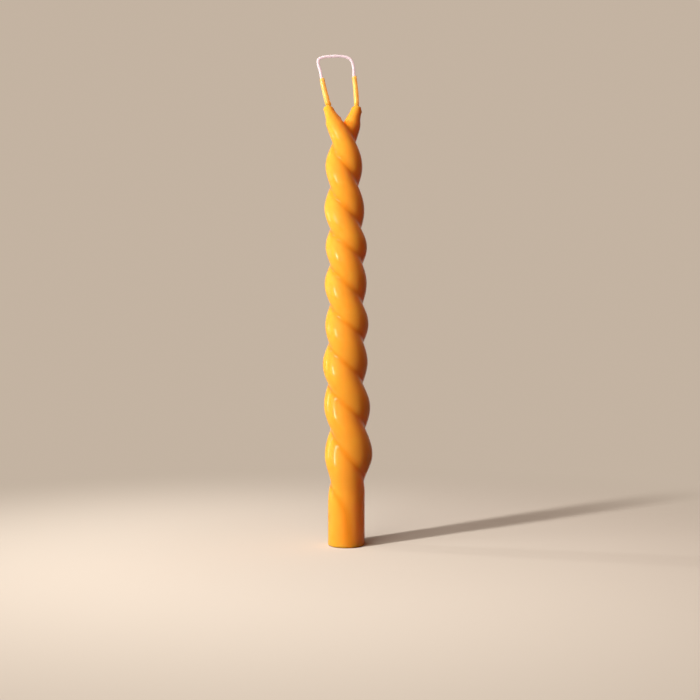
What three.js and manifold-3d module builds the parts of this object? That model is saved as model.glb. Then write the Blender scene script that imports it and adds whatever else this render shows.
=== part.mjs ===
// A pair of dipped taper candles on one wick, wound round each other by hand while the wax was warm.
// Millimetres, +Z up. The origin is the middle of the butt, on the surface that the butt stands on.
// The front is -Y, so +X is to the right. The twist is left-handed: strands in front fall to the right.

import * as THREE from "three";
import { mergeVertices } from "three/addons/utils/BufferGeometryUtils.js";
import Module from "manifold-3d";

// The butt is pressed round to fit a socket, and its creases start above it.
const BUTT_DIAMETER = 22.2;
const BUTT_LENGTH = 24;
const BUTT_EDGE = 0.6;
const BUTT_RELEASE = 13.8;
const BUTT_TWIST = [
  [0, 0.56],
  [0.52, 0.5],
  [0.76, 0.36],
];

// The half turns of the twist, from the first crossing above the butt upwards.
// Each has its length, the radius of one taper in a level cut at its lower crossing,
// and how far its side lobes reach from the axis.
const HALF_TURNS = [
  { length: 32.0, radius: 10.05, reach: 14.45 },
  { length: 27.0, radius: 10.5, reach: 14.0 },
  { length: 24.6, radius: 10.5, reach: 13.65 },
  { length: 23.2, radius: 10.45, reach: 13.15 },
  { length: 23.9, radius: 9.85, reach: 12.8 },
  { length: 21.3, radius: 9.8, reach: 12.65 },
  { length: 25.4, radius: 9.4, reach: 12.1 },
  { length: 26.3, radius: 8.4, reach: 11.2 },
];

// Above the last crossing the tapers part: rise above that crossing, radius, offset from the axis.
const TIPS = [
  { rise: 0, radius: 7.0, offset: 3.65 },
  { rise: 6, radius: 6.5, offset: 4.05 },
  { rise: 10.5, radius: 5.8, offset: 5.0 },
  { rise: 13.5, radius: 4.8, offset: 5.7 },
  { rise: 16.5, radius: 4.0, offset: 6.9 },
  { rise: 19.5, radius: 3.2, offset: 8.05 },
  { rise: 21, radius: 2.85, offset: 8.35 },
];
const PARTING_RISE = 13.5;
const SHOULDER_LENGTH = 1.0;

// One wick serves both tapers.
const WICK_DIAMETER = 1.8;
const WICK_CLEARANCE = 0.2;
const WICK_END_RECESS = 0.4;

// A neck is the thin wax coat on the foot of the wick, above each tip.
const NECK_COAT = 0.4;
const NECK_SPREAD = { foot: 8.5, top: 9.7 };
const NECK_LENGTHS = { left: 16.5, right: 17.7 };

// The bare loop of the wick. Each side is measured from the top of its own neck: to the right, and up.
const LOOP_LEFT = [
  [-0.9, 3.7],
  [-1.75, 6.7],
  [-2.4, 8.9],
  [-2.4, 10.4],
  [-1.7, 11.6],
  [0.0, 12.45],
  [2.9, 13.05],
  [6.9, 13.35],
];
const LOOP_RIGHT = [
  [-9.6, 12.1],
  [-7.0, 11.9],
  [-4.3, 11.3],
  [-2.5, 10.3],
  [-1.35, 8.7],
  [-0.6, 5.8],
  [-0.3, 3.1],
];

// The line that the tapers wind about sways a little: height, sideways, towards the back.
const SWAY = [
  [0, 0, 0],
  [24, 0, 0],
  [55, 1.4, 0.3],
  [83, 0.5, 0.5],
  [104, -0.75, 0.1],
  [135, 0.35, -0.3],
  [156, -0.4, -0.3],
  [175, 0.05, 0],
  [205, -1.25, 0.3],
  [241, -1.6, 0.4],
  [261, -2.2, 0.2],
  [280, -4.9, 0],
];

// Neighbouring wax keeps this gap.
const CONTACT_GAP = 0.3;

// How finely the surfaces are divided.
const BODY_STEP = 3.5;
const TIP_STEP = 1.5;
const WICK_STEP = 4.5;
const ARC_SEGMENTS = 16;
const FLAT_SEGMENTS = 5;
const WICK_SIDES = 8;
const MERGE_TOLERANCE = 1e-4;
const DIAGONAL_PREFERENCE = 0.99;

const HALF_TURN = Math.PI;

const wasm = await Module();
wasm.setup();

// A smooth curve through stations [place, value] that doesn't swing past them.
function smoothCurve(stations) {
  const last = stations.length - 1;
  const secant = (i) => (stations[i + 1][1] - stations[i][1]) / (stations[i + 1][0] - stations[i][0]);
  const slope = (i) => {
    const below = secant(Math.max(i - 1, 0));
    const above = secant(Math.min(i, last - 1));
    return below * above > 0 ? (2 * below * above) / (below + above) : 0;
  };
  return (place) => {
    let i = 0;
    while (i < last - 1 && place > stations[i + 1][0]) {
      i += 1;
    }
    const [start, from] = stations[i];
    const [end, to] = stations[i + 1];
    const t = THREE.MathUtils.clamp((place - start) / (end - start), 0, 1);
    const left = 1 - t;
    const turn = left * slope(i) - t * slope(i + 1);
    return from * left * left * (1 + 2 * t) + to * t * t * (3 - 2 * t) + turn * t * left * (end - start);
  };
}

// Heights of the crossings, from the butt up: one taper lies straight in front of the other.
const crossings = [BUTT_LENGTH + BUTT_RELEASE];
HALF_TURNS.forEach(({ length }) => crossings.push(crossings.at(-1) + length));
const topCrossing = crossings.at(-1);
const shoulder = topCrossing + TIPS.at(-1).rise;
const neckRadius = WICK_DIAMETER / 2 + WICK_CLEARANCE + NECK_COAT;
const neckFoot = shoulder + SHOULDER_LENGTH;
const neckTops = {
  left: neckFoot + NECK_LENGTHS.left,
  right: neckFoot + NECK_LENGTHS.right,
};

// Half turns that the left taper stands away from the front, counted down from the top crossing.
const halfTurnsAt = smoothCurve([
  ...BUTT_TWIST.map(([share, turns]) => [share * crossings[0], HALF_TURNS.length + turns]),
  ...crossings.map((height, i) => [height, HALF_TURNS.length - i]),
  [topCrossing + PARTING_RISE, -0.44],
  [shoulder, -0.5],
  [neckTops.right, -0.5],
]);

// Radius of one taper's round in a level cut.
const radiusAt = smoothCurve([
  [0, BUTT_DIAMETER / 2 - BUTT_EDGE],
  [BUTT_EDGE, BUTT_DIAMETER / 2],
  [BUTT_LENGTH, BUTT_DIAMETER / 2],
  ...HALF_TURNS.map(({ radius }, i) => [crossings[i], radius]),
  ...TIPS.map(({ rise, radius }) => [topCrossing + rise, radius]),
  [neckFoot, neckRadius],
  [neckTops.right, neckRadius],
]);

// Distance of that round's middle from the axis.
const offsetAt = smoothCurve([
  [0, 0],
  [BUTT_LENGTH, 0],
  ...HALF_TURNS.map(({ length, reach }, i) => {
    const lobe = crossings[i] + length / 2;
    return [lobe, reach - radiusAt(lobe)];
  }),
  ...TIPS.map(({ rise, offset }) => [topCrossing + rise, offset]),
  [neckFoot, NECK_SPREAD.foot],
  [neckTops.left, NECK_SPREAD.top],
  [neckTops.right, NECK_SPREAD.top],
]);

const swayRight = smoothCurve(SWAY.map(([height, right]) => [height, right]));
const swayBack = smoothCurve(SWAY.map(([height, , back]) => [height, back]));

// A point of a taper's level cut: how far out from the axis, and how far round from its middle line.
function placed(taper, height, outward, around) {
  const angle = (halfTurnsAt(height) + taper.lead) * HALF_TURN;
  const x = swayRight(height) + outward * Math.sin(angle) + around * Math.cos(angle);
  const y = swayBack(height) - outward * Math.cos(angle) + around * Math.sin(angle);
  return new THREE.Vector3(x, y, height);
}

// How far the middle of a taper's thickness lies from the axis. The wick runs there.
function middleAt(height) {
  const inner = Math.max(CONTACT_GAP / 2, offsetAt(height) - radiusAt(height));
  const crest = offsetAt(height) + radiusAt(height);
  return (inner + crest) / 2;
}

// The outline of a taper's level cut: a round, flat where it is pressed against the other taper.
function outline(taper, height) {
  const radius = radiusAt(height);
  const offset = offsetAt(height);
  const contact = CONTACT_GAP / 2;
  const seam = Math.acos(THREE.MathUtils.clamp((contact - offset) / radius, -1, 1));
  const evenly = (Math.PI * ARC_SEGMENTS) / (ARC_SEGMENTS + FLAT_SEGMENTS);
  const corner = Math.min(seam, evenly);
  const points = [];
  for (let i = 0; i < ARC_SEGMENTS + FLAT_SEGMENTS; i += 1) {
    const onArc = i <= ARC_SEGMENTS;
    const angle = onArc
      ? -corner + (2 * corner * i) / ARC_SEGMENTS
      : corner + (2 * (Math.PI - corner) * (i - ARC_SEGMENTS)) / FLAT_SEGMENTS;
    const outward = Math.max(contact, offset + radius * Math.cos(angle));
    points.push(placed(taper, height, outward, radius * Math.sin(angle)));
  }
  return points;
}

// A closed skin over rings of points that run anticlockwise, the lowest ring first.
// Each patch is split along its shorter diagonal. On a flat of the twist the two are alike,
// and the one taken keeps the flat on its own side of the contact.
function skinOver(rings, bottomMiddle, topMiddle) {
  const sides = rings[0].length;
  const points = [bottomMiddle, ...rings.flat(), topMiddle];
  const at = (ring, side) => 1 + ring * sides + (side % sides);
  const top = points.length - 1;
  const triangles = [];
  for (let side = 0; side < sides; side += 1) {
    triangles.push(0, at(0, side + 1), at(0, side));
    triangles.push(top, at(rings.length - 1, side), at(rings.length - 1, side + 1));
  }
  for (let ring = 0; ring < rings.length - 1; ring += 1) {
    for (let side = 0; side < sides; side += 1) {
      const a = at(ring, side);
      const b = at(ring, side + 1);
      const c = at(ring + 1, side + 1);
      const d = at(ring + 1, side);
      const rising = points[a].distanceTo(points[c]);
      const falling = points[b].distanceTo(points[d]);
      if (rising < falling * DIAGONAL_PREFERENCE) {
        triangles.push(a, b, c, a, c, d);
      } else {
        triangles.push(a, b, d, b, c, d);
      }
    }
  }
  const geometry = new THREE.BufferGeometry().setFromPoints(points);
  geometry.setIndex(triangles);
  return geometry;
}

// Heights of a taper's level cuts: close at the tip, where its form changes quickly.
function levels(top) {
  const bodySteps = Math.round((topCrossing - BUTT_EDGE) / BODY_STEP);
  const tipSteps = Math.round((shoulder - topCrossing) / TIP_STEP);
  const heights = [0];
  for (let i = 0; i <= bodySteps; i += 1) {
    heights.push(THREE.MathUtils.lerp(BUTT_EDGE, topCrossing, i / bodySteps));
  }
  for (let i = 1; i <= tipSteps; i += 1) {
    heights.push(THREE.MathUtils.lerp(topCrossing, shoulder, i / tipSteps));
  }
  heights.push((shoulder + neckFoot) / 2, neckFoot, (neckFoot + top) / 2, top);
  return heights;
}

// Turns a geometry into a solid for joining and cutting, and back.
function toSolid(geometry) {
  const bare = geometry.clone();
  bare.deleteAttribute("normal");
  bare.deleteAttribute("uv");
  const merged = mergeVertices(bare, MERGE_TOLERANCE);
  const vertProperties = merged.getAttribute("position").array;
  const triVerts = new Uint32Array(merged.index.array);
  return new wasm.Manifold(new wasm.Mesh({ numProp: 3, vertProperties, triVerts }));
}

function toGeometry(solid) {
  const { vertProperties, triVerts } = solid.getMesh();
  const geometry = new THREE.BufferGeometry();
  geometry.setAttribute("position", new THREE.BufferAttribute(vertProperties, 3));
  geometry.setIndex(new THREE.BufferAttribute(triVerts, 1));
  geometry.computeVertexNormals();
  return geometry;
}

// A smooth route whose tube has one ring at each of its points.
class Route extends THREE.CatmullRomCurve3 {
  getUtoTmapping(share) {
    return share;
  }
}

function tube(points, diameter) {
  const section = new THREE.Shape().absarc(0, 0, diameter / 2, 0, 2 * Math.PI);
  return new THREE.ExtrudeGeometry(section, {
    steps: points.length - 1,
    curveSegments: WICK_SIDES / 2,
    extrudePath: new Route(points),
  });
}

const tapers = {
  left: { lead: 0, top: neckTops.left },
  right: { lead: 1, top: neckTops.right },
};

// The wick's way up inside one taper, from just above its butt to the top of its neck.
function wayUp(taper) {
  const steps = Math.round((taper.top - WICK_END_RECESS) / WICK_STEP);
  const points = [];
  for (let i = 0; i <= steps; i += 1) {
    const height = THREE.MathUtils.lerp(WICK_END_RECESS, taper.top, i / steps);
    points.push(placed(taper, height, middleAt(height), 0));
  }
  return points;
}

// The whole wick: up the left taper, over the bare loop and down the right taper.
function wickRoute() {
  const up = wayUp(tapers.left);
  const down = wayUp(tapers.right).reverse();
  const from = (neckTop) => ([right, rise]) => neckTop.clone().add(new THREE.Vector3(right, 0, rise));
  return [...up, ...LOOP_LEFT.map(from(up.at(-1))), ...LOOP_RIGHT.map(from(down[0])), ...down];
}

// The hole that the wick leaves in the wax runs out through the butt.
function wickHole() {
  const route = wickRoute();
  const below = (point) => new THREE.Vector3(point.x, point.y, -BUTT_EDGE);
  return toSolid(
    tube([below(route[0]), ...route, below(route.at(-1))], WICK_DIAMETER + 2 * WICK_CLEARANCE),
  );
}

function taperGeometry(taper) {
  const heights = levels(taper.top);
  const rings = heights.map((height) => outline(taper, height));
  const middles = [0, taper.top].map((height) => placed(taper, height, middleAt(height), 0));
  return toGeometry(toSolid(skinOver(rings, ...middles)).subtract(wickHole()));
}

function named(name, geometry, material) {
  const mesh = new THREE.Mesh(geometry, material);
  mesh.name = name;
  return mesh;
}

const candle = new THREE.Group();
candle.add(
  named(
    "taper_left",
    taperGeometry(tapers.left),
    new THREE.MeshStandardMaterial({ color: 0xf2a533, roughness: 0.38, metalness: 0 }),
  ),
  named(
    "taper_right",
    taperGeometry(tapers.right),
    new THREE.MeshStandardMaterial({ color: 0xf0a02e, roughness: 0.38, metalness: 0 }),
  ),
  named(
    "wick",
    toGeometry(toSolid(tube(wickRoute(), WICK_DIAMETER))),
    new THREE.MeshStandardMaterial({ color: 0xf6e0de, roughness: 0.85, metalness: 0 }),
  ),
);

export default candle;
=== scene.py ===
"""Dresses a pair of dipped taper candles that are wound round each other on one wick.

Lengths in the classes are in millimetres and become metres when a mesh is made. The frame is that
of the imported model: +Z up the candle, -Y to the front, +X to the right.
"""

import logging
import math
from dataclasses import dataclass, field
from enum import Enum
from typing import Callable

import bmesh
import bpy
from mathutils import Matrix, Vector

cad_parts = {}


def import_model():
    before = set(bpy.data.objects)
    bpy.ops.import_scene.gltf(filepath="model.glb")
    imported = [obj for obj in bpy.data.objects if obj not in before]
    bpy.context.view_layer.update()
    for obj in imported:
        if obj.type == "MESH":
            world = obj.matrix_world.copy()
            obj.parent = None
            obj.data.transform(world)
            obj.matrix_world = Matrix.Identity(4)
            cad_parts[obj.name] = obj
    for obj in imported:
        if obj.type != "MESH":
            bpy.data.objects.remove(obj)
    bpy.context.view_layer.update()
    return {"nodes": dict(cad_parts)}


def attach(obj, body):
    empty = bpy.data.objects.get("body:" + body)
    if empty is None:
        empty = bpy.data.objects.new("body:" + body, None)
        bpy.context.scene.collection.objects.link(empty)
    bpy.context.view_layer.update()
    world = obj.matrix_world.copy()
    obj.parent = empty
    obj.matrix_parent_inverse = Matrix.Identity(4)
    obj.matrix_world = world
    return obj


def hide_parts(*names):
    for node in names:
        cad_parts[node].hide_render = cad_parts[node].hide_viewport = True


MM = 0.001
HALF_TURN = math.pi
BLACK = (0.0, 0.0, 0.0, 1.0)

Colour = tuple[float, float, float, float]

log = logging.getLogger("candle")


# Shader maths


class Value:
    """A shader socket that Python's operators work on."""

    def __init__(self, graph: "Graph", socket: bpy.types.NodeSocket) -> None:
        """Wraps a socket.

        Args:
            graph: The graph that the socket belongs to.
            socket: An output of one of its nodes.
        """
        self.graph = graph
        self.socket = socket

    def __add__(self, other: "Value | float") -> "Value":
        """The sum."""
        return self.graph.maths("ADD", self, other)

    def __radd__(self, other: float) -> "Value":
        """The sum, with the number first."""
        return self.graph.maths("ADD", other, self)

    def __sub__(self, other: "Value | float") -> "Value":
        """The difference."""
        return self.graph.maths("SUBTRACT", self, other)

    def __rsub__(self, other: float) -> "Value":
        """The difference, with the number first."""
        return self.graph.maths("SUBTRACT", other, self)

    def __mul__(self, other: "Value | float") -> "Value":
        """The product."""
        return self.graph.maths("MULTIPLY", self, other)

    def __rmul__(self, other: float) -> "Value":
        """The product, with the number first."""
        return self.graph.maths("MULTIPLY", other, self)

    def __truediv__(self, other: "Value | float") -> "Value":
        """The quotient."""
        return self.graph.maths("DIVIDE", self, other)

    def __pow__(self, other: "Value | float") -> "Value":
        """The power."""
        return self.graph.maths("POWER", self, other)

    def sine(self) -> "Value":
        """The sine."""
        return self.graph.maths("SINE", self, 0.0)

    def larger(self, other: "Value | float") -> "Value":
        """The larger of the two."""
        return self.graph.maths("MAXIMUM", self, other)

    def limited(self) -> "Value":
        """The value held between 0 and 1."""
        return self.graph.maths("MINIMUM", self.larger(0.0), 1.0)


class Graph:
    """The node tree of one material or world."""

    def __init__(self, tree: bpy.types.NodeTree) -> None:
        """Empties the tree.

        Args:
            tree: The node tree to build.
        """
        self.tree = tree
        self.tree.nodes.clear()

    def node(
        self,
        kind: str,
        settings: dict[str, object] | None = None,
        inputs: dict[str, object] | None = None,
    ) -> bpy.types.Node:
        """Adds a node.

        Args:
            kind: The node's type, such as ShaderNodeTexNoise.
            settings: Its settings, which are set first.
            inputs: Values or links of its sockets, by name.

        Returns:
            The node.
        """
        made = self.tree.nodes.new(kind)
        for name, value in (settings or {}).items():
            setattr(made, name, value)
        for name, value in (inputs or {}).items():
            socket = next(s for s in made.inputs if s.name == name and s.enabled)
            if isinstance(value, Value):
                self.tree.links.new(value.socket, socket)
            elif isinstance(value, bpy.types.NodeSocket):
                self.tree.links.new(value, socket)
            else:
                socket.default_value = value
        return made

    def out(self, node: bpy.types.Node, name: str) -> Value:
        """The named output of a node that is in use."""
        return Value(self, next(s for s in node.outputs if s.name == name and s.enabled))

    def maths(self, operation: str, first: "Value | float", second: "Value | float") -> Value:
        """Adds a Math node.

        Args:
            operation: The node's operation.
            first: Its first value.
            second: Its second value.

        Returns:
            The node's result.
        """
        made = self.tree.nodes.new("ShaderNodeMath")
        made.operation = operation
        for socket, value in zip(made.inputs, (first, second)):
            if isinstance(value, Value):
                self.tree.links.new(value.socket, socket)
            else:
                socket.default_value = value
        return self.out(made, "Value")

    def blend(self, factor: Value, first: object, second: object) -> Value:
        """Mixes two colours.

        Args:
            factor: 0 for the first, 1 for the second.
            first: A colour or a value.
            second: A colour or a value.

        Returns:
            The mixed colour.
        """
        mixed = self.node(
            "ShaderNodeMix",
            {"data_type": "RGBA"},
            {"Factor": factor, "A": first, "B": second},
        )
        return self.out(mixed, "Result")

    def join(self, mixed: bpy.types.Node, first: bpy.types.Node, second: bpy.types.Node) -> None:
        """Links two shaders to a Mix Shader node, whose sockets have one name."""
        self.tree.links.new(first.outputs[0], mixed.inputs[1])
        self.tree.links.new(second.outputs[0], mixed.inputs[2])

    def place(self) -> Value:
        """Where a point lies on the piece, in metres."""
        return self.out(self.node("ShaderNodeTexCoord"), "Object")

    def attribute(self, name: str) -> Value:
        """A number that the mesh carries at each of its points."""
        return self.out(self.node("ShaderNodeAttribute", {"attribute_name": name}), "Fac")

    def noise(self, place: Value, size: float, detail: float, roughness: float = 0.5) -> Value:
        """Smooth noise from 0 to 1.

        Args:
            place: Where the point lies.
            size: The size of its patches in millimetres.
            detail: How many finer layers it has.
            roughness: How strong the finer layers are.

        Returns:
            The noise.
        """
        made = self.node(
            "ShaderNodeTexNoise",
            None,
            {"Vector": place, "Scale": 1 / (size * MM), "Detail": detail, "Roughness": roughness},
        )
        return self.out(made, "Fac")


@dataclass(frozen=True)
class WaxFinish:
    """Dipped wax: an amber body that light enters, with a soft gloss.

    It has two shaders. Light goes deep into one. The other, which it doesn't enter, takes over
    beside the seams and keeps them dark. The colour has painted shade in the creases, and the wax
    has a painted glow on the faces where the tapers press together and on the necks.
    """

    name: str
    thin: Colour
    thick: Colour
    # Painted shade: the darker, deeper orange that the wax goes over to in its creases.
    crease_shade: Colour
    coat: Colour
    # How strongly the creases are darkened by painted shade.
    crease_shade_share: float = 0.65
    seam_power: float = 4.0
    # The body's patches: their size in millimetres, and how their noise becomes a share.
    patch: float = 14.0
    patch_contrast: float = 1.6
    patch_start: float = 0.3
    # The pale bloom on the fine grain.
    grain: float = 1.6
    bloom: Colour = (0.98, 0.74, 0.32, 1.0)
    bloom_start: float = 0.62
    bloom_contrast: float = 2.2
    bloom_share: float = 0.10
    # The film that dipping leaves: its patches and its height, in millimetres.
    film: float = 6.0
    film_height: float = 0.04
    film_strength: float = 0.05
    film_share: float = 0.9
    # The gloss, of the body and of the coat on the necks.
    roughness: float = 0.145
    film_roughness: float = 0.05
    refraction: float = 1.44
    mirror: float = 0.11
    coat_gloss: float = 0.4
    coat_roughness: float = 0.2
    sheen: float = 0.08
    sheen_roughness: float = 0.4
    sheen_tint: Colour = (1.0, 0.95, 0.86, 1.0)
    # How deep light goes, in millimetres, and a painted glow that stands in for the light that
    # comes from the other side and through the thin necks.
    depth: float = 6.0
    light_way: tuple[float, float, float] = (1.0, 1.0, 1.0)
    painted_inner_glow: Colour = (0.60, 0.03, 0.0, 1.0)
    painted_neck_glow: Colour = (0.28, 0.12, 0.015, 1.0)

    def body(self, graph: Graph, speck: Value, crease_shade_mask: Value, on_neck: Value) -> Value:
        """The colour of the wax.

        Args:
            graph: The material's nodes.
            speck: The fine grain.
            crease_shade_mask: 1 in a crease and 0 away from it.
            on_neck: 1 on a neck and 0 elsewhere.

        Returns:
            The colour.
        """
        cloud = graph.noise(graph.place(), self.patch, detail=3.0)
        thickness = (cloud * self.patch_contrast - self.patch_start).limited()
        colour = graph.blend(thickness, self.thin, self.thick)
        # Painted shade: the wax is darkened towards the crease colour near the seams.
        colour = graph.blend(crease_shade_mask * self.crease_shade_share, colour, self.crease_shade)
        colour = graph.blend(on_neck, colour, self.coat)
        bloom = ((speck - self.bloom_start) * self.bloom_contrast).limited()
        return graph.blend(bloom * self.bloom_share, colour, self.bloom)

    def glow(self, graph: Graph, on_neck: Value) -> Value:
        """The light that comes through from the other side.

        It is a painted glow, which the material gives off itself. It is red on the faces where the
        tapers press on each other, standing in for light that crossed the other taper, and orange
        on the necks, standing in for light that comes through the thin wax.

        Args:
            graph: The material's nodes.
            on_neck: 1 on a neck and 0 elsewhere.

        Returns:
            The colour of the painted glow.
        """
        crossed = graph.blend(graph.attribute("pressed"), BLACK, self.painted_inner_glow)
        return graph.blend(on_neck, crossed, self.painted_neck_glow)

    def material(self) -> bpy.types.Material:
        """Builds the material.

        Returns:
            The material of the wax.
        """
        made = bpy.data.materials.new(self.name)
        made.use_nodes = True
        made.cycles.emission_sampling = "NONE"
        graph = Graph(made.node_tree)
        speck = graph.noise(graph.place(), self.grain, detail=2.0, roughness=0.6)
        film = graph.noise(graph.place(), self.film, detail=1.5, roughness=0.4)
        crease_shade_mask, on_neck = graph.attribute("crease_shade"), graph.attribute("coat")
        bump = graph.node(
            "ShaderNodeBump",
            None,
            {
                "Strength": self.film_strength,
                "Distance": self.film_height * MM,
                "Height": film * self.film_share + speck * (1 - self.film_share),
            },
        )
        shared = {
            "Base Color": self.body(graph, speck, crease_shade_mask, on_neck),
            "Roughness": self.roughness + film * self.film_roughness,
            "IOR": self.refraction,
            "Specular IOR Level": self.mirror,
            "Coat Weight": on_neck * self.coat_gloss,
            "Coat Roughness": self.coat_roughness,
            "Coat IOR": self.refraction,
            "Sheen Weight": self.sheen,
            "Sheen Roughness": self.sheen_roughness,
            "Sheen Tint": self.sheen_tint,
            "Normal": graph.out(bump, "Normal"),
        }
        inside = {
            "Subsurface Weight": 1.0,
            "Subsurface Radius": self.light_way,
            "Subsurface Scale": self.depth * MM,
            # Painted glow on the pressed faces and the necks.
            "Emission Color": self.glow(graph, on_neck),
            "Emission Strength": 1.0,
        }
        deep = graph.node(
            "ShaderNodeBsdfPrincipled", {"subsurface_method": "RANDOM_WALK"}, shared | inside
        )
        shallow = graph.node("ShaderNodeBsdfPrincipled", None, shared)
        mixed = graph.node("ShaderNodeMixShader", None, {"Fac": crease_shade_mask**self.seam_power})
        graph.join(mixed, deep, shallow)
        graph.node("ShaderNodeOutputMaterial", None, {"Surface": graph.out(mixed, "Shader")})
        return made


@dataclass(frozen=True)
class CottonFinish:
    """Braided cotton: light goes through it, and its fibres follow the yarns."""

    name: str
    # The lit and shaded colours: painted light on the raised yarns and painted shade in the
    # hollows. The shaded one is also the colour of the soiled patches.
    light: Colour
    shade: Colour
    # The sizes of the fuzz and of the soiled patches, in millimetres.
    fuzz: float = 0.16
    soil: float = 2.4
    soil_share: float = 0.3
    # How much the yarns' height, the fuzz and the fibres lighten it. The height paints light on the
    # raised yarns and shade in the hollows between them; the fuzz and fibres are the cotton's own
    # tone.
    raised_share: float = 0.6
    fuzz_share: float = 0.25
    fibre_share: float = 0.15
    # The relief of the fibres: its height in millimetres.
    fibre_height: float = 0.03
    fibre_strength: float = 0.1
    fibre_relief: float = 0.6
    roughness: float = 0.62
    fuzz_roughness: float = 0.2
    mirror: float = 0.2
    # How deep light goes, in millimetres, and a painted glow all over the wick that stands in for
    # the light that comes through the thin braid.
    depth: float = 2.5
    light_way: tuple[float, float, float] = (1.0, 1.0, 1.0)
    painted_inner_glow: Colour = (0.36, 0.265, 0.270, 1.0)

    def material(self) -> bpy.types.Material:
        """Builds the material.

        Returns:
            The material of the wick.
        """
        made = bpy.data.materials.new(self.name)
        made.use_nodes = True
        graph = Graph(made.node_tree)
        soil = graph.noise(graph.place(), self.soil, detail=3.0)
        fuzz = graph.noise(graph.place(), self.fuzz, detail=2.0, roughness=0.7)
        fibre = (graph.attribute("strand") * (2 * math.pi)).sine() * 0.5 + 0.5
        # Painted light and shade: raised yarns lighter, hollows darker, mixed with the fuzz's and
        # fibres' own tone.
        raised = graph.attribute("raised") * self.raised_share
        lit = (raised + fuzz * self.fuzz_share + fibre * self.fibre_share).limited()
        colour = graph.blend(lit, self.shade, self.light)
        soiled = ((soil - 0.5) * 2.0).limited() * self.soil_share
        bump = graph.node(
            "ShaderNodeBump",
            None,
            {
                "Strength": self.fibre_strength,
                "Distance": self.fibre_height * MM,
                "Height": fibre * self.fibre_relief + fuzz * (1 - self.fibre_relief),
            },
        )
        shader = graph.node(
            "ShaderNodeBsdfPrincipled",
            {"subsurface_method": "RANDOM_WALK"},
            {
                "Base Color": graph.blend(soiled, colour, self.shade),
                "Roughness": self.roughness + fuzz * self.fuzz_roughness,
                "Specular IOR Level": self.mirror,
                "Subsurface Weight": 1.0,
                "Subsurface Radius": self.light_way,
                "Subsurface Scale": self.depth * MM,
                # Painted glow: the wick gives off light itself, standing in for light through the
                # thin braid.
                "Emission Color": self.painted_inner_glow,
                "Emission Strength": 1.0,
                "Normal": graph.out(bump, "Normal"),
            },
        )
        graph.node("ShaderNodeOutputMaterial", None, {"Surface": graph.out(shader, "BSDF")})
        return made


# The form of the twist


@dataclass(frozen=True)
class SmoothCurve:
    """A smooth curve through stations (place, value) that doesn't swing past them."""

    stations: tuple[tuple[float, float], ...]

    def secant(self, i: int) -> float:
        """The slope of the straight line from station i to the next."""
        (start, low), (end, high) = self.stations[i], self.stations[i + 1]
        return (high - low) / (end - start)

    def slope(self, i: int) -> float:
        """The curve's slope at a station.

        Args:
            i: The station's number.

        Returns:
            The slope, level where the curve turns back.
        """
        last = len(self.stations) - 1
        below, above = self.secant(max(i - 1, 0)), self.secant(min(i, last - 1))
        return 2 * below * above / (below + above) if below * above > 0 else 0.0

    def at(self, place: float) -> float:
        """The curve's value.

        Args:
            place: Where along the curve.

        Returns:
            The value there, held at the ends.
        """
        i = 0
        while i < len(self.stations) - 2 and place > self.stations[i + 1][0]:
            i += 1
        (start, low), (end, high) = self.stations[i], self.stations[i + 1]
        t = min(max((place - start) / (end - start), 0.0), 1.0)
        rest = 1 - t
        turn = rest * self.slope(i) - t * self.slope(i + 1)
        return (
            low * rest * rest * (1 + 2 * t)
            + high * t * t * (3 - 2 * t)
            + turn * t * rest * (end - start)
        )


class Side(Enum):
    """The two tapers, by the side that each one's tip is on."""

    LEFT = 0
    RIGHT = 1


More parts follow.
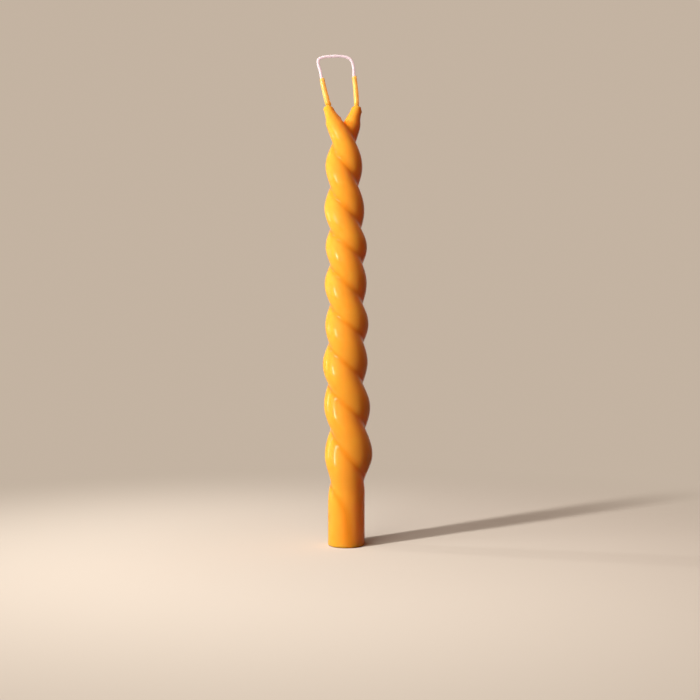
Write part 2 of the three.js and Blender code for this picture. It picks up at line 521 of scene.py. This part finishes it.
@dataclass(frozen=True)
class TwistForm:
    """The line, thickness and turns that both tapers and their wick follow."""

    butt_radius: float = 11.1
    butt_length: float = 24.0
    butt_edge: float = 0.6
    release: float = 13.8
    butt_twist: tuple[tuple[float, float], ...] = ((0, 0.56), (0.52, 0.5), (0.76, 0.36))
    # Each half turn: length, radius of one taper, reach of its side lobes.
    half_turns: tuple[tuple[float, float, float], ...] = (
        (32.0, 10.05, 14.45),
        (27.0, 10.5, 14.0),
        (24.6, 10.5, 13.65),
        (23.2, 10.45, 13.15),
        (23.9, 9.85, 12.8),
        (21.3, 9.8, 12.65),
        (25.4, 9.4, 12.1),
        (26.3, 8.4, 11.2),
    )
    # Above the last crossing: rise, radius, offset from the axis.
    tips: tuple[tuple[float, float, float], ...] = (
        (0, 7.0, 3.65),
        (6, 6.5, 4.05),
        (10.5, 5.8, 5.0),
        (13.5, 4.8, 5.7),
        (16.5, 4.0, 6.9),
        (19.5, 3.2, 8.05),
        (21, 2.85, 8.35),
    )
    parting_rise: float = 13.5
    parting_turn: float = -0.44
    tip_turn: float = -0.5
    shoulder_length: float = 1.0
    neck_radius: float = 1.5
    neck_spread: tuple[float, float] = (8.5, 9.7)
    neck_lengths: tuple[float, float] = (16.5, 17.7)
    # Height, sideways, towards the back.
    sway: tuple[tuple[float, float, float], ...] = (
        (0, 0, 0),
        (24, 0, 0),
        (55, 1.4, 0.3),
        (83, 0.5, 0.5),
        (104, -0.75, 0.1),
        (135, 0.35, -0.3),
        (156, -0.4, -0.3),
        (175, 0.05, 0),
        (205, -1.25, 0.3),
        (241, -1.6, 0.4),
        (261, -2.2, 0.2),
        (280, -4.9, 0),
    )
    crossings: tuple[float, ...] = field(init=False)
    turns: SmoothCurve = field(init=False)
    radius: SmoothCurve = field(init=False)
    offset: SmoothCurve = field(init=False)
    right: SmoothCurve = field(init=False)
    back: SmoothCurve = field(init=False)

    def __post_init__(self) -> None:
        """Works out the curves from the sizes."""
        crossings = [self.butt_length + self.release]
        for length, _, _ in self.half_turns:
            crossings.append(crossings[-1] + length)
        self.keep("crossings", tuple(crossings))
        self.keep("turns", self.turn_curve())
        self.keep("radius", self.radius_curve())
        self.keep("offset", self.offset_curve())
        self.keep("right", SmoothCurve(tuple((z, x) for z, x, _ in self.sway)))
        self.keep("back", SmoothCurve(tuple((z, y) for z, _, y in self.sway)))

    def keep(self, name: str, value: object) -> None:
        """Sets a field that follows from the sizes."""
        object.__setattr__(self, name, value)

    def turn_curve(self) -> SmoothCurve:
        """The twist's turn by height.

        Returns:
            The half turns that are left up to the last crossing.
        """
        count, top = len(self.half_turns), self.crossings[-1]
        return SmoothCurve(
            (
                *((share * self.crossings[0], count + turn) for share, turn in self.butt_twist),
                *((height, count - i) for i, height in enumerate(self.crossings)),
                (top + self.parting_rise, self.parting_turn),
                (self.shoulder(), self.tip_turn),
                (self.top(Side.RIGHT), self.tip_turn),
            )
        )

    def radius_curve(self) -> SmoothCurve:
        """The thickness by height.

        Returns:
            The radius of one taper.
        """
        top = self.crossings[-1]
        return SmoothCurve(
            (
                (0, self.butt_radius - self.butt_edge),
                (self.butt_edge, self.butt_radius),
                (self.butt_length, self.butt_radius),
                *((start, turn[1]) for start, turn in zip(self.crossings, self.half_turns)),
                *((top + rise, radius) for rise, radius, _ in self.tips),
                (self.neck_foot(), self.neck_radius),
                (self.top(Side.RIGHT), self.neck_radius),
            )
        )

    def offset_curve(self) -> SmoothCurve:
        """The spread by height, worked out from the thickness and the reach of the lobes.

        Returns:
            How far the middle of a taper's round lies from the axis.
        """
        top = self.crossings[-1]
        lobes = []
        for start, (length, _, reach) in zip(self.crossings, self.half_turns):
            middle = start + length / 2
            lobes.append((middle, reach - self.radius.at(middle)))
        return SmoothCurve(
            (
                (0, 0),
                (self.butt_length, 0),
                *lobes,
                *((top + rise, offset) for rise, _, offset in self.tips),
                (self.neck_foot(), self.neck_spread[0]),
                (self.top(Side.LEFT), self.neck_spread[1]),
                (self.top(Side.RIGHT), self.neck_spread[1]),
            )
        )

    def shoulder(self) -> float:
        """The height at which the tips end."""
        return self.crossings[-1] + self.tips[-1][0]

    def neck_foot(self) -> float:
        """The height at which the necks start."""
        return self.shoulder() + self.shoulder_length

    def top(self, side: Side) -> float:
        """The height of one taper's neck top."""
        return self.neck_foot() + self.neck_lengths[side.value]

    def up_neck(self, side: Side, height: float) -> float:
        """How far up its neck a height lies: 0 at the foot and below, 1 at the top."""
        foot = self.neck_foot()
        return min(max((height - foot) / (self.top(side) - foot), 0.0), 1.0)

    def placed(self, side: Side, height: float, outward: float, around: float) -> Vector:
        """A point of a level cut.

        Args:
            side: Which taper.
            height: The height of the cut.
            outward: How far the point lies from the axis, along the taper's middle line.
            around: How far it lies round from that line.

        Returns:
            The point in millimetres.
        """
        angle = (self.turns.at(height) + side.value) * HALF_TURN
        x = self.right.at(height) + outward * math.sin(angle) + around * math.cos(angle)
        y = self.back.at(height) - outward * math.cos(angle) + around * math.sin(angle)
        return Vector((x, y, height))

    def middle(self, height: float, contact: float) -> float:
        """How far the middle of a taper's thickness lies from the axis."""
        inner = max(contact, self.offset.at(height) - self.radius.at(height))
        return (inner + self.offset.at(height) + self.radius.at(height)) / 2


# Modelling steps


class Bench:
    """Operator steps that every piece is modelled with."""

    @staticmethod
    def clear() -> None:
        """Leaves nothing selected."""
        bpy.ops.object.select_all(action="DESELECT")

    @staticmethod
    def take(piece: bpy.types.Object) -> None:
        """Selects one piece alone and makes it the active one.

        Args:
            piece: The piece.
        """
        Bench.clear()
        piece.select_set(True)
        bpy.context.view_layer.objects.active = piece

    @staticmethod
    def edit(piece: bpy.types.Object) -> None:
        """Opens a piece in edit mode."""
        Bench.take(piece)
        bpy.ops.object.mode_set(mode="EDIT")

    @staticmethod
    def done() -> None:
        """Goes back to object mode."""
        bpy.ops.object.mode_set(mode="OBJECT")

    @staticmethod
    def pick(piece: bpy.types.Object, kind: str, wanted: Callable[[object], bool]) -> None:
        """Selects elements of the piece that is open in edit mode.

        Args:
            piece: The piece.
            kind: verts, edges or faces.
            wanted: Says which elements are selected.
        """
        bpy.ops.mesh.select_mode(type={"verts": "VERT", "edges": "EDGE", "faces": "FACE"}[kind])
        bpy.ops.mesh.select_all(action="DESELECT")
        mesh = bmesh.from_edit_mesh(piece.data)
        for element in getattr(mesh, kind):
            if wanted(element):
                element.select_set(True)
        mesh.select_flush_mode()
        bmesh.update_edit_mesh(piece.data)

    @staticmethod
    def apply(piece: bpy.types.Object, kind: str, **settings: object) -> None:
        """Adds a modifier and applies it.

        Args:
            piece: The piece.
            kind: The modifier's type.
            settings: Its settings.
        """
        Bench.take(piece)
        modifier = piece.modifiers.new(kind.lower(), kind)
        for name, value in settings.items():
            setattr(modifier, name, value)
        bpy.ops.object.modifier_apply(modifier=modifier.name)

    @staticmethod
    def smooth(piece: bpy.types.Object) -> None:
        """Shades a piece smooth."""
        Bench.take(piece)
        bpy.ops.object.shade_smooth()

    @staticmethod
    def report(piece: bpy.types.Object) -> None:
        """Logs a piece's name and triangle count."""
        piece.data.calc_loop_triangles()
        log.info("%s: %d triangles", piece.name, len(piece.data.loop_triangles))


@dataclass(frozen=True)
class Lump:
    """A soft lump that dipping left: a point near the surface, its move and its reach."""

    place: tuple[float, float, float]
    move: tuple[float, float, float]
    reach: float

    def press(self, piece: bpy.types.Object) -> None:
        """Pulls the lump out of a piece.

        Args:
            piece: The piece.
        """
        spot = Vector(self.place) * MM
        nearest = min(piece.data.vertices, key=lambda vertex: (vertex.co - spot).length).index
        Bench.edit(piece)
        Bench.pick(piece, "verts", lambda vertex: vertex.index == nearest)
        bpy.ops.transform.translate(
            value=tuple(Vector(self.move) * MM),
            use_proportional_edit=True,
            use_proportional_connected=True,
            proportional_edit_falloff="SMOOTH",
            proportional_size=self.reach * MM,
        )
        Bench.done()


@dataclass
class Taper:
    """One dipped wax taper of the pair, with the wax coat on the foot of its wick."""

    side: Side
    form: TwistForm
    finish: WaxFinish
    arc_sides: int = 56
    flat_sides: int = 16
    body_step: float = 1.5
    tip_step: float = 0.7
    edge_step: float = 0.2
    shoulder_step: float = 0.25
    neck_step: float = 0.5
    contact: float = 0.015
    fillet: float = 1.4
    skin_depth: float = 0.07
    neck_swell: float = 0.0
    neck_beads: float = 0.035
    bead_length: float = 2.3
    corner_share: float = 1.3
    # How wide the painted shade beside the seams is.
    crease_shade_width: float = 2.6
    # How the painted glow on the pressed faces falls off towards the seams.
    pressed_power: int = 5
    top_slant: float = 0.28
    # The coat starts over the lowest sixth of a neck, and the slant over its highest sixth.
    neck_parts: float = 6.0
    lumps: tuple[Lump, ...] = ()

    def levels(self) -> list[float]:
        """The heights of the rings, close where the form changes quickly.

        Returns:
            The heights from the butt up.
        """
        form = self.form
        top_crossing, shoulder = form.crossings[-1], form.shoulder()
        stretches = (
            (0.0, form.butt_edge, self.edge_step),
            (form.butt_edge, top_crossing, self.body_step),
            (top_crossing, shoulder, self.tip_step),
            (shoulder, form.neck_foot(), self.shoulder_step),
            (form.neck_foot(), form.top(self.side), self.neck_step),
        )
        heights = [0.0]
        for low, high, step in stretches:
            count = max(1, round((high - low) / step))
            heights += [low + (high - low) * i / count for i in range(1, count + 1)]
        return heights

    def eased(self, t: float) -> float:
        """A place from -1 to 1, moved so that places crowd towards both ends."""
        return self.corner_share * t - (self.corner_share - 1) * t**3

    def coated(self, up: float) -> float:
        """How far the wax coat is formed at a place up the neck."""
        return min(up * self.neck_parts, 1.0)

    def ring_point(self, height: float, k: int) -> Vector:
        """A point of the taper's level cut: a round, pressed flat on its neighbour.

        Args:
            height: The height of the cut.
            k: The point's number round the ring, from the first seam.

        Returns:
            The point in millimetres.
        """
        up = self.form.up_neck(self.side, height)
        swell = self.neck_swell * math.sin(math.pi * math.sqrt(up))
        wave = math.sin(2 * math.pi * height / self.bead_length)
        beads = self.neck_beads * wave * self.coated(up)
        radius = self.form.radius.at(height) - self.skin_depth + swell + beads
        offset = self.form.offset.at(height)
        share = (self.contact - offset) / radius
        seam = math.acos(min(max(share, -1.0), 1.0))
        corner = min(seam, math.pi * self.arc_sides / (self.arc_sides + self.flat_sides))
        if k <= self.arc_sides:
            angle = corner * self.eased(2 * k / self.arc_sides - 1)
        else:
            t = self.eased(2 * (k - self.arc_sides) / self.flat_sides - 1)
            angle = math.pi + (math.pi - corner) * t
        outward = max(self.contact, offset + radius * math.cos(angle))
        around = radius * math.sin(angle)
        if k <= self.arc_sides and seam < math.pi:
            filled = math.hypot(outward, self.fillet) - offset
            around = math.copysign(max(abs(around), self.across(radius, filled)), around)
        return self.form.placed(self.side, height, outward, around)

    @staticmethod
    def across(radius: float, along: float) -> float:
        """Half the width of a round, at a distance from its middle."""
        return math.sqrt(max(radius * radius - along * along, 0.0))

    def bar(self, heights: list[float]) -> bpy.types.Object:
        """Draws a round bar with one ring for each height.

        Args:
            heights: The heights of the rings.

        Returns:
            The bar.
        """
        sides = self.arc_sides + self.flat_sides
        Bench.clear()
        bpy.ops.mesh.primitive_circle_add(
            vertices=sides, radius=self.form.butt_radius * MM, fill_type="NGON"
        )
        piece = bpy.context.active_object
        piece.name = f"wax_taper_{self.side.name.lower()}"
        piece.data.name = piece.name
        Bench.edit(piece)
        bpy.ops.mesh.select_all(action="SELECT")
        for low, high in zip(heights, heights[1:]):
            bpy.ops.mesh.extrude_region_move(
                TRANSFORM_OT_translate={"value": (0, 0, (high - low) * MM)}
            )
        bpy.ops.mesh.select_all(action="SELECT")
        bpy.ops.mesh.normals_make_consistent(inside=False)
        Bench.done()
        return piece

    def near_seam(self, height: float, point: Vector) -> float:
        """How near a point of a ring lies to the taper's seams.

        Args:
            height: The height of the ring.
            point: The point in millimetres.

        Returns:
            1 on a seam, and less away from it. It sets how much painted shade the wax has there.
        """
        seams = [self.ring_point(height, 0), self.ring_point(height, self.arc_sides)]
        gap = min((point - seam).length for seam in seams)
        return math.exp(-((gap / self.crease_shade_width) ** 2))

    def inside_contact(self, k: int) -> float:
        """How far inside the pressed face a point lies: 1 in its middle, 0 at the seams."""
        across = 2 * (k - self.arc_sides) / self.flat_sides - 1
        return (1 - across * across) ** self.pressed_power

    def wind(self, piece: bpy.types.Object) -> set[int]:
        """Presses the bar's rings to their shape and turns them about the twist's line.

        No operator presses a round flat on a neighbour that turns with it, so the rings'
        points are placed by the form's own curves.

        Args:
            piece: The bar.

        Returns:
            The numbers of its points that lie on the seams.
        """
        sides = self.arc_sides + self.flat_sides
        # Masks: painted shade beside the seams, painted glow on the pressed faces, and where the
        # neck's coat lies.
        crease_shade = piece.data.attributes.new("crease_shade", "FLOAT", "POINT")
        pressed = piece.data.attributes.new("pressed", "FLOAT", "POINT")
        coat = piece.data.attributes.new("coat", "FLOAT", "POINT")
        seam_points = set()
        for vertex in piece.data.vertices:
            height = vertex.co.z / MM
            angle = math.atan2(vertex.co.y, vertex.co.x)
            k = round(self.arc_sides / 2 + angle / (2 * math.pi) * sides) % sides
            point = self.ring_point(height, k)
            if self.form.radius.at(height) > self.form.offset.at(height):
                crease_shade.data[vertex.index].value = self.near_seam(height, point)
                if k > self.arc_sides:
                    # The pressed faces give off a painted glow, strongest in their middle.
                    pressed.data[vertex.index].value = self.inside_contact(k)
                elif k in (0, self.arc_sides):
                    seam_points.add(vertex.index)
            up = self.form.up_neck(self.side, height)
            coat.data[vertex.index].value = self.coated(up)
            middle = self.form.placed(self.side, height, self.form.offset.at(height), 0.0)
            top = max(self.neck_parts * up - (self.neck_parts - 1), 0.0)
            point.z += self.top_slant * (point.x - middle.x) * top
            vertex.co = point * MM
        return seam_points

    @staticmethod
    def mark_seams(piece: bpy.types.Object, seam_points: set[int]) -> None:
        """Keeps the seams sharp when the piece is subdivided and shaded smooth.

        Args:
            piece: The wound bar.
            seam_points: The numbers of its points that lie on the seams.
        """
        Bench.edit(piece)
        Bench.pick(piece, "edges", lambda edge: all(end.index in seam_points for end in edge.verts))
        bpy.ops.transform.edge_crease(value=1.0)
        bpy.ops.mesh.mark_sharp()
        Bench.done()

    def build(self) -> bpy.types.Object:
        """Builds the taper.

        Returns:
            The finished piece.
        """
        piece = self.bar(self.levels())
        self.mark_seams(piece, self.wind(piece))
        for lump in self.lumps:
            lump.press(piece)
        Bench.apply(piece, "SUBSURF", levels=1, render_levels=1)
        Bench.smooth(piece)
        piece.data.materials.clear()
        piece.data.materials.append(self.finish.material())
        Bench.report(piece)
        return piece


# The wick


@dataclass
class Wick:
    """One braided cotton wick: up the left taper, over the bare loop and down the right one."""

    form: TwistForm
    finish: CottonFinish
    end_recess: float = 0.4
    way_step: float = 4.5
    fine_step: float = 0.1
    contact: float = 0.15
    lean: float = 0.3
    # Each side is measured from its own neck top: to the right, and up.
    loop_left: tuple[tuple[float, float], ...] = (
        (-0.9, 3.7),
        (-1.75, 6.7),
        (-2.3, 8.9),
        (-2.3, 10.4),
        (-1.7, 11.6),
        (0.0, 12.45),
        (2.9, 13.0),
        (6.9, 13.25),
    )
    loop_right: tuple[tuple[float, float], ...] = (
        (-9.6, 12.1),
        (-7.0, 11.9),
        (-4.3, 11.3),
        (-2.5, 10.3),
        (-1.35, 8.7),
        (-0.6, 5.8),
        (-0.3, 3.1),
    )
    braid_radius: float = 0.58
    weave: float = 0.025
    yarn_radius: float = 0.285
    braid_pitch: float = 4.4
    yarns_each_way: int = 4
    yarn_twists: float = 9.0
    braid_sides: int = 40
    braid_step: float = 0.16
    hidden_sides: int = 10
    hidden_step: float = 1.6
    hidden_radius: float = 0.845
    bare_margin: float = 3.0
    overlap_steps: int = 2

    def way_up(self, side: Side) -> list[Vector]:
        """The wick's way inside one taper, from its butt to its neck top.

        Args:
            side: Which taper.

        Returns:
            Points in millimetres.
        """
        top = self.form.top(side)
        steps = round((top - self.end_recess) / self.way_step)
        way = []
        for i in range(steps + 1):
            height = self.end_recess + (top - self.end_recess) * i / steps
            point = self.form.placed(side, height, self.form.middle(height, self.contact), 0.0)
            point.x -= self.lean * self.form.up_neck(side, height)
            way.append(point)
        return way

    def route(self) -> list[Vector]:
        """The points that the whole wick passes through.

        Returns:
            Points in millimetres.
        """
        up, down = self.way_up(Side.LEFT), self.way_up(Side.RIGHT)
        lean = Vector((self.lean, 0, 0))
        left = [up[-1] + lean + Vector((x, 0, z)) for x, z in self.loop_left]
        right = [down[-1] + lean + Vector((x, 0, z)) for x, z in self.loop_right]
        return [*up, *left, *right, *reversed(down)]

    def smooth_line(self, points: list[Vector]) -> list[Vector]:
        """A smooth line through points, with no loops where they lie close together.

        Args:
            points: The points that it passes through.

        Returns:
            Points along the line, at most fine_step apart.
        """
        line: list[Vector] = []
        padded = [2 * points[0] - points[1], *points, 2 * points[-1] - points[-2]]
        for a, b, c, d in zip(padded, padded[1:], padded[2:], padded[3:]):
            t1 = (b - a).length ** 0.5
            t2 = t1 + (c - b).length ** 0.5
            t3 = t2 + (d - c).length ** 0.5
            count = max(4, math.ceil((c - b).length / self.fine_step))
            for i in range(count):
                t = t1 + (t2 - t1) * i / count
                ab = a * ((t1 - t) / t1) + b * (t / t1)
                bc = b * ((t2 - t) / (t2 - t1)) + c * ((t - t1) / (t2 - t1))
                cd = c * ((t3 - t) / (t3 - t2)) + d * ((t - t2) / (t3 - t2))
                abc = ab * ((t2 - t) / t2) + bc * (t / t2)
                bcd = bc * ((t3 - t) / (t3 - t1)) + cd * ((t - t1) / (t3 - t1))
                line.append(abc * ((t2 - t) / (t2 - t1)) + bcd * ((t - t1) / (t2 - t1)))
        return [*line, points[-1].copy()]

    @staticmethod
    def even_steps(line: list[Vector], step: float) -> list[Vector]:
        """Cuts a line into steps of one length.

        Args:
            line: Its points.
            step: The length of a step in millimetres.

        Returns:
            Points along the line.
        """
        lengths = [0.0]
        for start, end in zip(line, line[1:]):
            lengths.append(lengths[-1] + (end - start).length)
        count = max(2, round(lengths[-1] / step))
        even, i = [], 0
        for n in range(count + 1):
            want = lengths[-1] * n / count
            while i < len(lengths) - 2 and lengths[i + 1] < want:
                i += 1
            share = (want - lengths[i]) / max(lengths[i + 1] - lengths[i], 1e-9)
            even.append(line[i].lerp(line[i + 1], min(share, 1.0)))
        return even

    @staticmethod
    def frames(line: list[Vector]) -> list[tuple[Vector, Vector]]:
        """Two directions across a line at each of its points, that turn as little as they can.

        Args:
            line: The points.

        Returns:
            A pair of unit vectors for each point.
        """
        across = Vector((0, 1, 0))
        found = []
        for i in range(len(line)):
            ahead = (line[min(i + 1, len(line) - 1)] - line[max(i - 1, 0)]).normalized()
            across = (across - ahead * across.dot(ahead)).normalized()
            found.append((across.copy(), ahead.cross(across)))
        return found

    def relief(self, along: float, angle: float) -> tuple[float, float]:
        """The braid's surface at one place: half its yarns wind each way, over and under.

        Args:
            along: The length of braid before the place.
            angle: The direction out of the braid's middle line.

        Returns:
            The distance from the middle line, and how far round the top yarn's fibres lie.
        """
        turn = 2 * math.pi * along / self.braid_pitch
        count = self.yarns_each_way
        reach, strand = 0.0, 0.0
        for way in (1, -1):
            middle = self.braid_radius + way * self.weave * math.cos(count * turn)
            for number in range(count):
                side = middle * math.sin(angle - way * turn - 2 * math.pi * number / count)
                ahead = middle * math.cos(angle - way * turn - 2 * math.pi * number / count)
                if ahead > 0 and abs(side) < self.yarn_radius:
                    out = ahead + math.sqrt(self.yarn_radius**2 - side**2)
                    if out > reach:
                        reach = out
                        strand = 2 * math.asin(side / self.yarn_radius) / math.pi
                        strand += along * self.yarn_twists / self.braid_pitch
        return max(reach, self.hidden_radius), strand

    def cord(self, mesh: bmesh.types.BMesh, line: list[Vector], start: float, bare: bool) -> None:
        """Adds a closed stretch of cord to a mesh.

        Args:
            mesh: The mesh.
            line: Its middle line in millimetres.
            start: The length of cord before it.
            bare: Whether its braid shows.
        """
        raised = mesh.verts.layers.float.get("raised")
        strand = mesh.verts.layers.float.get("strand")
        sides = self.braid_sides if bare else self.hidden_sides
        low, high = self.hidden_radius, self.braid_radius + self.yarn_radius + self.weave
        rings = []
        along = start
        for i, (point, (first, second)) in enumerate(zip(line, self.frames(line))):
            along += (point - line[i - 1]).length if i else 0.0
            ring = []
            for k in range(sides):
                angle = 2 * math.pi * k / sides
                reach, fibre = self.relief(along, angle) if bare else (self.hidden_radius, 0.0)
                spot = point + (first * math.cos(angle) + second * math.sin(angle)) * reach
                vertex = mesh.verts.new(spot * MM)
                # The yarns' height, which paints light on the raised yarns and shade in the
                # hollows.
                vertex[raised] = (reach - low) / (high - low)
                vertex[strand] = fibre
                ring.append(vertex)
            rings.append(ring)
        for below, above in zip(rings, rings[1:]):
            for k in range(sides):
                after = (k + 1) % sides
                mesh.faces.new((below[k], below[after], above[after], above[k]))
        mesh.faces.new(list(reversed(rings[0])))
        mesh.faces.new(rings[-1])

    def build(self) -> bpy.types.Object:
        """Builds the wick.

        Returns:
            The finished piece.
        """
        line = self.even_steps(self.smooth_line(self.route()), self.braid_step)
        neck_left = self.form.top(Side.LEFT) - self.bare_margin
        neck_right = self.form.top(Side.RIGHT) - self.bare_margin
        half = len(line) // 2
        low = next(i for i in range(half) if line[i].z > neck_left)
        high = next(i for i in range(len(line) - 1, half, -1) if line[i].z > neck_right)
        ends = round(self.bare_margin / self.braid_step)
        every = round(self.hidden_step / self.braid_step)
        last, lap = len(line) - 1, self.overlap_steps
        mesh = bmesh.new()
        mesh.verts.layers.float.new("raised")
        mesh.verts.layers.float.new("strand")
        for start, end in ((0, ends), (low, high), (last - ends, last)):
            self.cord(mesh, line[start : end + 1], start * self.braid_step, True)
        for start, end in ((ends - lap, low + lap), (high - lap, last - ends + lap)):
            stretch = [*line[start:end:every], line[end]]
            self.cord(mesh, stretch, start * self.braid_step, False)
        bmesh.ops.recalc_face_normals(mesh, faces=mesh.faces)
        data = bpy.data.meshes.new("braided_wick")
        mesh.to_mesh(data)
        mesh.free()
        piece = bpy.data.objects.new("braided_wick", data)
        bpy.context.scene.collection.objects.link(piece)
        Bench.smooth(piece)
        data.materials.append(self.finish.material())
        log.info("wick: %.0f mm long", len(line) * self.braid_step)
        Bench.report(piece)
        return piece


# The studio


@dataclass(frozen=True)
class SoftLight:
    """An area lamp that faces the candle, with its sizes in millimetres and turns in degrees."""

    name: str
    turn: float
    rise: float
    distance: float
    width: float
    height: float
    power: float
    colour: tuple[float, float, float]
    aim_height: float = 150.0

    def build(self) -> None:
        """Adds the lamp, turned from the front towards the left."""
        lamp = bpy.data.lights.new(self.name, "AREA")
        lamp.shape = "RECTANGLE"
        lamp.size = self.width * MM
        lamp.size_y = self.height * MM
        lamp.energy = self.power
        lamp.color = self.colour
        holder = bpy.data.objects.new(self.name, lamp)
        turn, rise = math.radians(self.turn), math.radians(self.rise)
        way = Vector(
            (-math.sin(turn) * math.cos(rise), -math.cos(turn) * math.cos(rise), math.sin(rise))
        )
        aim = Vector((0, 0, self.aim_height * MM))
        holder.matrix_world = Matrix.Translation(aim + way * self.distance * MM) @ (
            way.to_track_quat("Z", "Y").to_matrix().to_4x4()
        )
        bpy.context.scene.collection.objects.link(holder)


@dataclass
class Studio:
    """A pale floor, a pale surround, soft lamps and the camera."""

    camera_place: tuple[float, float, float] = (2.2, -606.0, 117.0)
    focal_pixels: float = 1010.0
    picture_pixels: float = 700.0
    sensor_width: float = 36.0
    clip_start: float = 10.0
    floor_radius: float = 1400.0
    floor_sides: int = 96
    floor_roughness: float = 0.5
    floor_colour: Colour = (0.72, 0.65, 0.57, 1.0)
    floor_bounce: Colour = (0.09, 0.07, 0.05, 1.0)
    surround: Colour = (0.550, 0.452, 0.360, 1.0)
    clear_from: float = 120.0
    clear_to: float = 420.0
    fill: float = 0.05
    fill_colour: Colour = (1.0, 0.54, 0.26, 1.0)
    # Each lamp: name, turn, rise, distance, width, height, power, colour.
    lamps: tuple[SoftLight, ...] = (
        SoftLight("key_light", 52, 16, 900, 60, 360, 8.6, (1.0, 0.97, 0.93)),
        SoftLight("window_light", 46, 26, 1000, 1200, 850, 6.1, (1.0, 0.98, 0.95)),
        SoftLight("edge_light", 104, 10, 900, 45, 340, 2.3, (1.0, 0.98, 0.95)),
        SoftLight("top_light", 20, 50, 900, 500, 500, 1.2, (1.0, 0.86, 0.70)),
        SoftLight("bounce_light", -78, 12, 900, 900, 700, 0.9, (1.0, 0.20, 0.04)),
    )

    def camera(self) -> None:
        """Places the camera, level with the middle of the picture's height."""
        data = bpy.data.cameras.new("camera")
        data.sensor_width = self.sensor_width
        data.lens = self.focal_pixels / self.picture_pixels * data.sensor_width
        data.clip_start = self.clip_start * MM
        holder = bpy.data.objects.new("camera", data)
        holder.location = Vector(self.camera_place) * MM
        holder.rotation_euler = (math.pi / 2, 0, 0)
        bpy.context.scene.collection.objects.link(holder)
        bpy.context.scene.camera = holder

    @staticmethod
    def seen(graph: Graph) -> Value:
        """Tells the rays that look at the surround from those that only light the candle.

        Args:
            graph: The nodes that need it.

        Returns:
            1 for camera, mirror and glass rays.
        """
        path = graph.node("ShaderNodeLightPath")
        plain = graph.out(path, "Is Camera Ray").larger(graph.out(path, "Is Glossy Ray"))
        return plain.larger(graph.out(path, "Is Transmission Ray"))

    def world(self) -> None:
        """A surround that is pale to look at and gives a low, even fill."""
        world = bpy.data.worlds.new("surround")
        world.use_nodes = True
        bpy.context.scene.world = world
        graph = Graph(world.node_tree)
        fill, pale = (
            graph.node("ShaderNodeBackground", None, {"Color": colour, "Strength": strength})
            for colour, strength in ((self.fill_colour, self.fill), (self.surround, 1.0))
        )
        mixed = graph.node("ShaderNodeMixShader", None, {"Fac": self.seen(graph)})
        graph.join(mixed, fill, pale)
        graph.node("ShaderNodeOutputWorld", None, {"Surface": graph.out(mixed, "Shader")})

    def floor(self) -> None:
        """A round pale floor that keeps the candle's shadow and goes over to the surround."""
        Bench.clear()
        bpy.ops.mesh.primitive_circle_add(
            vertices=self.floor_sides, radius=self.floor_radius * MM, fill_type="NGON"
        )
        piece = bpy.context.active_object
        piece.name = "floor"
        material = bpy.data.materials.new("pale_floor")
        material.use_nodes = True
        graph = Graph(material.node_tree)
        parts = graph.node("ShaderNodeSeparateXYZ", None, {"Vector": graph.place()})
        x, y = graph.out(parts, "X"), graph.out(parts, "Y")
        reach = (x * x + y * y) ** 0.5 - self.clear_from * MM
        clearing = (reach / ((self.clear_to - self.clear_from) * MM)).limited()
        clearing = clearing * clearing * (3.0 - 2.0 * clearing)
        seen = self.seen(graph)
        colour = graph.blend(seen, self.floor_bounce, self.floor_colour)
        paint = graph.node(
            "ShaderNodeBsdfDiffuse", None, {"Color": colour, "Roughness": self.floor_roughness}
        )
        pale = graph.node("ShaderNodeEmission", None, {"Color": self.surround, "Strength": 1.0})
        mixed = graph.node("ShaderNodeMixShader", None, {"Fac": clearing * seen})
        graph.join(mixed, paint, pale)
        graph.node("ShaderNodeOutputMaterial", None, {"Surface": graph.out(mixed, "Shader")})
        piece.data.materials.append(material)

    def build(self) -> None:
        """Sets up the whole studio."""
        bpy.context.scene.view_settings.view_transform = "Standard"
        self.camera()
        self.world()
        self.floor()
        for lamp in self.lamps:
            lamp.build()


AMBER_LEFT = WaxFinish(
    name="amber_wax_left",
    thin=(0.975, 0.410, 0.041, 1.0),
    thick=(0.970, 0.376, 0.031, 1.0),
    crease_shade=(0.910, 0.240, 0.004, 1.0),
    coat=(0.980, 0.400, 0.085, 1.0),
)
AMBER_RIGHT = WaxFinish(
    name="amber_wax_right",
    thin=(0.975, 0.400, 0.039, 1.0),
    thick=(0.970, 0.366, 0.029, 1.0),
    crease_shade=(0.905, 0.235, 0.004, 1.0),
    coat=(0.980, 0.390, 0.080, 1.0),
)
NECK_SWELL = {Side.LEFT: 0.3, Side.RIGHT: 0.08}
LUMPS = {
    Side.LEFT: (
        Lump((-13.4, -0.6, 260.9), (-0.4, -0.15, -0.1), 1.7),
        Lump((-9.2, 0.0, 264.4), (0.45, 0.0, 0.0), 2.2),
        Lump((-3.2, 0.0, 257.0), (0.5, -0.1, 0.3), 2.6),
    ),
    Side.RIGHT: (Lump((9.0, -0.3, 259.4), (0.55, -0.15, 0.0), 1.7),),
}
# The wick's colours are darker than cotton, because the painted glow adds to them.
WICK_COTTON = CottonFinish(
    name="wick_cotton",
    light=(0.560, 0.455, 0.490, 1.0),
    shade=(0.530, 0.425, 0.460, 1.0),
)


def main() -> None:
    """Builds the studio and the pieces in order."""
    logging.basicConfig(level=logging.INFO, format="%(name)s %(message)s")
    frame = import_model()
    log.info("packed nodes: %s", ", ".join(sorted(frame["nodes"])))
    Studio().build()
    form = TwistForm()
    wick = Wick(form, WICK_COTTON).build()
    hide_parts("wick")
    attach(wick, "root")
    for side, finish in ((Side.LEFT, AMBER_LEFT), (Side.RIGHT, AMBER_RIGHT)):
        taper = Taper(side, form, finish, neck_swell=NECK_SWELL[side], lumps=LUMPS[side]).build()
        name = side.name.lower()
        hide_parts(f"taper_{name}")
        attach(taper, "root")


if __name__ == "__main__":
    main()
